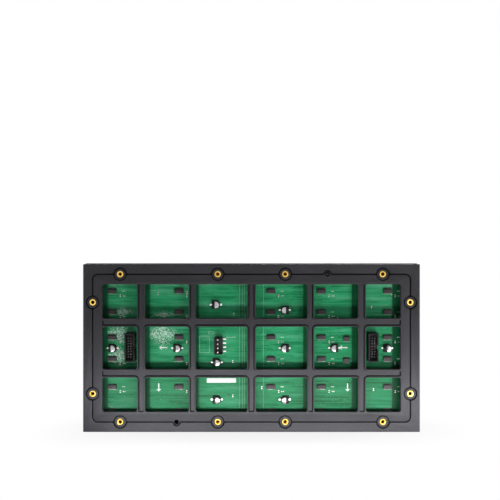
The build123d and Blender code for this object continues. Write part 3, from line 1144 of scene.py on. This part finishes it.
def shroud(node, name):
    # the CAD shape with its flats merged and its edges rounded
    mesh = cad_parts[node].data.copy()
    with edited(mesh) as work:
        bmesh.ops.remove_doubles(work, verts=work.verts, dist=same)
        limit, sharpTurn = header["flatTurn"], header["sharpTurn"]
        bmesh.ops.dissolve_limit(work, angle_limit=limit, verts=work.verts[:], edges=work.edges[:])
        sharp = [edge for edge in work.edges if edge.is_manifold and edge.calc_face_angle(0) > sharpTurn]
        bevelled(work, sharp, header["edge"] * mm, True)
    return finished(name, mesh, nylonFinish, 30)


for node, name in (("signal_header_left", "signalShroudLeft"), ("signal_header_right", "signalShroudRight")):
    keep(shroud(node, name), "header_black", node)
    place = middleOf(node)
    pins = onGrid(name + "Pins", slab(*header["pin"]), dullFinish, 2, header["pins"], header["pitch"], place)
    keep(pins, "tinned_metal")

keep(shroud("power_header", "powerShroud"), "header_black", "power_header")
bladeLow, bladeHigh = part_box("power_blades")
bladeCentre = ((bladeLow.x + bladeHigh.x) / 2, 0, (bladeLow.z + bladeHigh.z) / 2)
bladeUnit = slab(
    power["blade"], power["blade"], bladeLow.y / mm - power["bladeSunk"], bladeHigh.y / mm, power["bladeEdge"]
)
blades = onGrid("powerBlades", bladeUnit, tinFinish, 1, power["pins"], power["pitch"], bladeCentre)
keep(blades, "tinned_metal", "power_blades")
powerPlace = middleOf("power_header")
tabs = onGrid("powerTabs", slab(*power["tab"]), tinFinish, 1, power["pins"], power["pitch"], powerPlace)
keep(tabs, "tinned_metal")

# small parts and marks on the board
small = {
    # places beside a driver chip, and how far past the grid one may lie
    "resistorBeside": (7.6, -4.6), "dashBeside": (10.9, -0.2), "padsBeside": (11.4, -4.7), "past": 3.0,
    "resistor": (0.4, 0.55, 0.0, 0.5, 0.06),    # half sizes, foot, top and edge
    "ends": (0.45, 0.28, 0.52, 0.08, 0.0, 0.8), "pads": (0.38, 0.55, 0.2, 0.08, 0.8, 0.0),    # as for a can
    "ink": 0.04, "dash": (1.4, 0.25), "line": 0.15,
    "resistors": (
        (-62.0, 52.0), (-17.0, 31.0), (-18.0, -14.5), (-18.0, -47.5), (-90.0, 51.0), (115.5, 38.0),
        (135.0, 51.0), (10.0, -39.5), (117.5, -41.5), (83.0, 27.0), (25.5, 28.5),
    ),
    # boxes drawn as thin outlines: left, right, low, high
    "frames": ((-50.0, -40.5, -6.0, 10.0), (-41.5, -36.2, 12.0, 14.2), (-24.0, -15.5, 8.5, 9.1)),
}


def besideChips(kind):
    across, up = small[kind + "Beside"]
    places = [middleOf(node) + Vector((-across * mm, 0, up * mm)) for node in driverNodes]
    return [place for place in places if abs(place.x) < (shell["grid"][1] + small["past"]) * mm]


resistors = besideChips("resistor") + [behind(x, z, boardY) for x, z in small["resistors"]]
dash = slab(*small["dash"], 0.0, small["ink"])
keep(onPoints("resistorBodies", slab(*small["resistor"]), resistorFinish, resistors, None, 30), "chip_black")
keep(onPoints("resistorEnds", slabPair(*small["ends"]), tinFinish, resistors, None, 30), "tinned_metal")
keep(onPoints("padPairs", slabPair(*small["pads"]), pinFinish, besideChips("pads"), None, 30), "tinned_metal")
keep(onPoints("inkDashes", dash, inkFinish, besideChips("dash")), "label_white")

arrow = {
    "length": 7.8, "head": 2.3, "barb": 0.62, "neck": 0.85, "stem": 0.5,
    "level": ((-85.0, -1.2), (88.6, -1.0)), "down": ((-89.3, -39.5), (92.6, -39.5)),
}


def arrowUnit():
    # points to the left seen from behind
    head, stem = arrow["head"], arrow["stem"]
    tip, barb = -arrow["length"] / 2, head * arrow["barb"]
    back, neck = tip + head, tip + head * arrow["neck"]
    upper = [(-tip, stem), (neck, stem), (back, barb), (back, head)]
    outline = [(tip, 0)] + [(x, -z) for x, z in reversed(upper)] + upper
    return tidied(prism([(-x, z) for x, z in outline], 0.0, small["ink"]))


arrowPlaces = [behind(x, z, boardY) for x, z in arrow["level"] + arrow["down"]]
arrowTurns = [0.0] * len(arrow["level"]) + [math.pi / 2] * len(arrow["down"])
keep(onPoints("inkArrows", arrowUnit(), inkFinish, arrowPlaces, arrowTurns), "label_white")

lines = []
for left, right, low, high in small["frames"]:
    line = small["line"]
    for one, two, three, four in (
        (left, right, low, low + line), (left, right, high - line, high),
        (left, left + line, low, high), (right - line, right, low, high),
    ):
        lines.append(block(behind(two, three, boardY), behind(one, four, boardY + small["ink"])))
keep(finished("inkFrames", joined(*lines), inkFinish), "label_white")

# floor, light and camera
studio = {
    "floor": 6.0, "world": 0.055,
    "nearGlow": 0.8, "glowFrom": 0.035, "glowFull": 0.095, "depthWeight": 0.2,
}
pureWhite = (1, 1, 1, 1)


def backdrop():
    paper = Finish("studioFloor")
    x, y, z = paper.axes()
    away = (x * x * studio["depthWeight"] + y * y).root()
    shown = paper.seen() * away.mapped(studio["glowFrom"], studio["glowFull"], studio["nearGlow"], 1.0)
    colour = paper.ramp(paper.noise(0.7, 2), (0.3, (0.90, 0.90, 0.90)), (0.7, (0.92, 0.92, 0.92)))
    matt = paper.node("ShaderNodeBsdfDiffuse", None, {"Color": colour})
    glow = paper.node("ShaderNodeEmission", None, {"Color": pureWhite, "Strength": 1.0})
    both = paper.node("ShaderNodeMixShader", None, {0: shown, 1: matt, 2: glow})
    paper.node("ShaderNodeOutputMaterial", None, {0: both})
    reach = studio["floor"]
    corners = [(-reach, -reach, 0), (reach, -reach, 0), (reach, reach, 0), (-reach, reach, 0)]
    finished("studioFloor", newMesh("studioFloor", corners, [(0, 1, 2, 3)]), paper.material)

    scene.world = bpy.data.worlds.new("studio")
    scene.world.use_nodes = True
    scene.world.node_tree.nodes.clear()
    sky = Tree(scene.world.node_tree)
    soft = sky.node("ShaderNodeBackground", None, {"Color": pureWhite, "Strength": studio["world"]})
    white = sky.node("ShaderNodeBackground", None, {"Color": pureWhite, "Strength": 1.0})
    both = sky.node("ShaderNodeMixShader", None, {0: sky.seen(), 1: soft, 2: white})
    sky.node("ShaderNodeOutputWorld", None, {0: both})


def softbox(name, place, size, power, aim=(0, 0, 0.08), spread=180, height=None):
    light = bpy.data.lights.new(name, "AREA")
    light.shape = "RECTANGLE"
    light.size = size
    light.size_y = height or size
    light.energy = power
    light.spread = math.radians(spread)
    lamp = bpy.data.objects.new(name, light)
    lamp.location = place
    lamp.rotation_euler = (Vector(aim) - Vector(place)).to_track_quat("-Z", "Y").to_euler()
    lamp.visible_camera = False
    scene.collection.objects.link(lamp)


backdrop()
softbox("lowSoftbox", (-0.09, 0.095, 0.015), 0.5, 0.51, (-0.09, 0, 0), height=0.022)
softbox("rightSoftbox", (-0.34, 0.40, 0.05), 0.12, 0.24, (-0.09, 0, 0.06), 120)
softbox("leftSoftbox", (0.34, 0.40, 0.05), 0.12, 0.10, (0.09, 0, 0.06), 120)
softbox("frontSoftbox", (-0.40, -1.3, 0.30), 0.8, 12.5)
softbox("frontFill", (0.6, -1.25, 0.12), 0.7, 10)

view = {"distance": 0.6, "across": 1.4, "up": 92.9, "frameWidth": 473.4, "sensor": 36}
camera = bpy.data.objects.new("camera", bpy.data.cameras.new("camera"))
scene.collection.objects.link(camera)
camera.location = behind(-view["across"], view["up"], rearY + view["distance"] / mm)
camera.rotation_euler = Vector((0, -1, 0)).to_track_quat("-Z", "Y").to_euler()
camera.data.sensor_width = view["sensor"]
camera.data.lens = view["sensor"] * view["distance"] / (view["frameWidth"] * mm)
camera.data.clip_start = 0.05
camera.data.clip_end = 30
scene.camera = camera
scene.view_settings.view_transform = "Standard"
print("stage and camera ready")

print("done")
